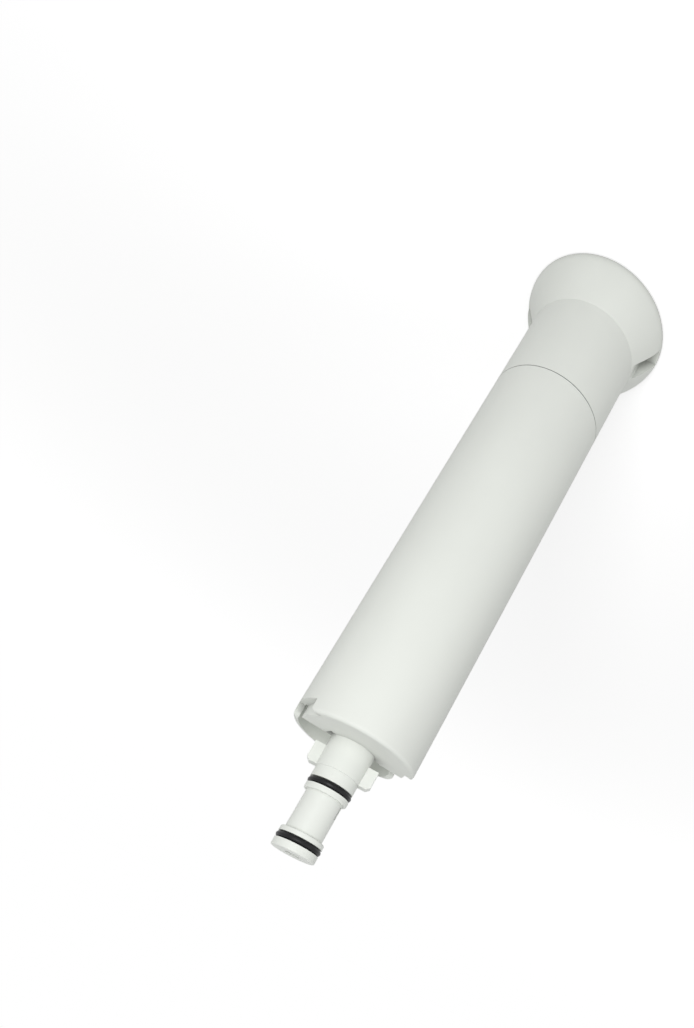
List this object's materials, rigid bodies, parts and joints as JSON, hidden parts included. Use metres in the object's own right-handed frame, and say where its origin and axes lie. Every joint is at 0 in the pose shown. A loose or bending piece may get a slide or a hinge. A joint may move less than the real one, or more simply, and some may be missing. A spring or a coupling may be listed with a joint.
{
  "type": "water purifier filter cartridge",
  "caption": "Long white quarter-turn water filter cartridge with a flared twist handle, a ported spigot with ring seals and bayonet lugs, and a carbon block element inside.",
  "frame": {"origin": "centre of the flared handle's rim, on the surface that the cartridge stands on", "axes": "+Z runs along the cartridge from the handle's rim up to the spigot's tip; X passes through the two lugs; the two grip slots lie 10 degrees from X; the end pocket lies towards +Y, turned by 14 degrees"},
  "size_m": [0.0664, 0.0664, 0.28],
  "materials": {
    "housing_plastic": "satin off-white moulded polypropylene, faintly grained",
    "connector_plastic": "smooth white moulded polypropylene, a little brighter than the housing",
    "seal_rubber": "black moulded rubber with a soft sheen",
    "inner_plastic": "natural white polypropylene",
    "carbon": "sintered activated carbon, matt black",
    "fleece": "white melt-blown fleece"
  },
  "bodies": {
    "root": {"housing": "housing_plastic", "handle_cap": "housing_plastic", "connector": "connector_plastic", "neck_o_ring": "seal_rubber", "tip_o_ring": "seal_rubber", "closure": "inner_plastic", "carbon_block": "carbon", "prefilter_wrap": "fleece", "core_tube": "inner_plastic", "closed_end_cap": "inner_plastic", "open_end_cap": "inner_plastic", "element_o_ring": "seal_rubber"}
  },
  "joints": []
}
